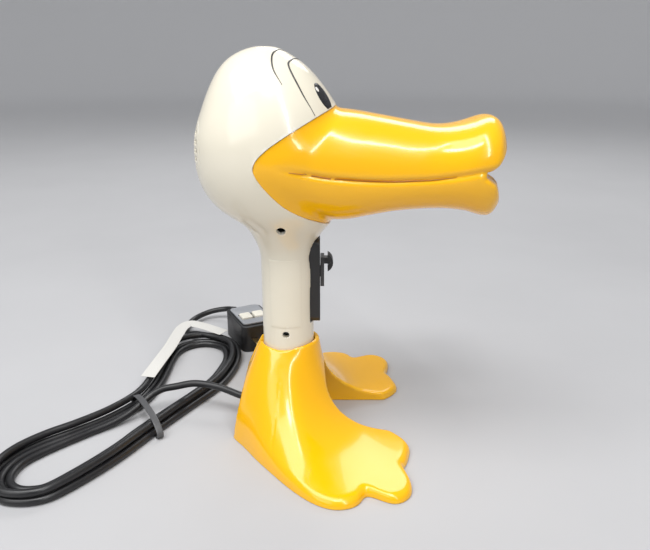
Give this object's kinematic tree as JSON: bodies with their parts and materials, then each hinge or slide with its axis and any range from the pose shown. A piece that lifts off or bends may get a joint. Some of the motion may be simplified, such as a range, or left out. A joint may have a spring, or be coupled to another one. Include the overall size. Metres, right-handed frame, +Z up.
{
  "type": "novelty hair dryer with stand",
  "caption": "Duck-shaped hair dryer: hollow head and bill on a handle with a slide switch, standing in a duck-feet stand, with its tied mains cord and protection plug.",
  "frame": {"origin": "on the floor under the middle of the object's bounding box, measured without the cord, plug and tag", "axes": "+X the way the bill points, +Y to the duck's left, +Z up"},
  "size_m": [0.3538, 0.3162, 0.28],
  "materials": {
    "cream_plastic": "smooth gloss",
    "yellow_plastic": "smooth gloss",
    "black_plastic": "fine satin",
    "black_rubber": "soft satin",
    "grey_plastic": "satin",
    "white_plastic": "satin",
    "steel": "satin",
    "brass": "satin",
    "mica": "matt layered sheet",
    "paper": "matt"
  },
  "bodies": {
    "stand": {"stand_shell": "yellow_plastic", "cord_lead": "black_rubber", "cord_tail": "black_rubber", "cord_hank": "black_rubber", "cord_tie": "grey_plastic", "hang_tag": "paper", "plug_body": "black_plastic", "plug_panel": "grey_plastic", "plug_blade_right": "brass", "plug_blade_left": "brass", "plug_strain_relief": "black_rubber"},
    "dryer": {"head_shell_right": "cream_plastic", "head_shell_left": "cream_plastic", "bill_right": "yellow_plastic", "bill_left": "yellow_plastic", "inlet_grille": "cream_plastic", "outlet_grille": "black_plastic", "fan_duct": "black_plastic", "motor": "steel", "heater_sleeve": "mica", "heater_board_vertical": "mica", "heater_board_horizontal": "mica", "heater_coil": "steel", "thermostat": "brass", "thermal_fuse": "white_plastic", "switch_plate": "black_plastic", "switch_body": "black_plastic", "strain_relief": "black_rubber", "cord_clamp": "black_plastic", "upper_handle_screw": "steel", "lower_handle_screw": "steel"},
    "fan": {"impeller": "white_plastic", "motor_shaft": "steel"},
    "slider": {"switch_slider": "black_plastic"},
    "test_button": {"test_button": "white_plastic"},
    "reset_button": {"reset_button": "white_plastic"}
  },
  "joints": [
    {"name": "dryer_lift", "type": "slide", "parent": "stand", "child": "dryer", "axis": [0, 0, 1], "range_m": [0, 0.08]},
    {"name": "fan_spin", "type": "hinge", "parent": "dryer", "child": "fan", "pos_m": [-0.04375, 0, 0.208], "axis": [1, 0, 0], "continuous": true},
    {"name": "switch_slide", "type": "slide", "parent": "dryer", "child": "slider", "axis": [0, 0, -1], "range_m": [0, 0.01]},
    {"name": "test_button_press", "type": "slide", "parent": "stand", "child": "test_button", "axis": [0, 0, -1], "range_m": [0, 0.0015], "stiffness_N_per_m": 600, "springref_m": -0.001},
    {"name": "reset_button_press", "type": "slide", "parent": "stand", "child": "reset_button", "axis": [0, 0, -1], "range_m": [0, 0.0015], "stiffness_N_per_m": 600, "springref_m": -0.001}
  ]
}
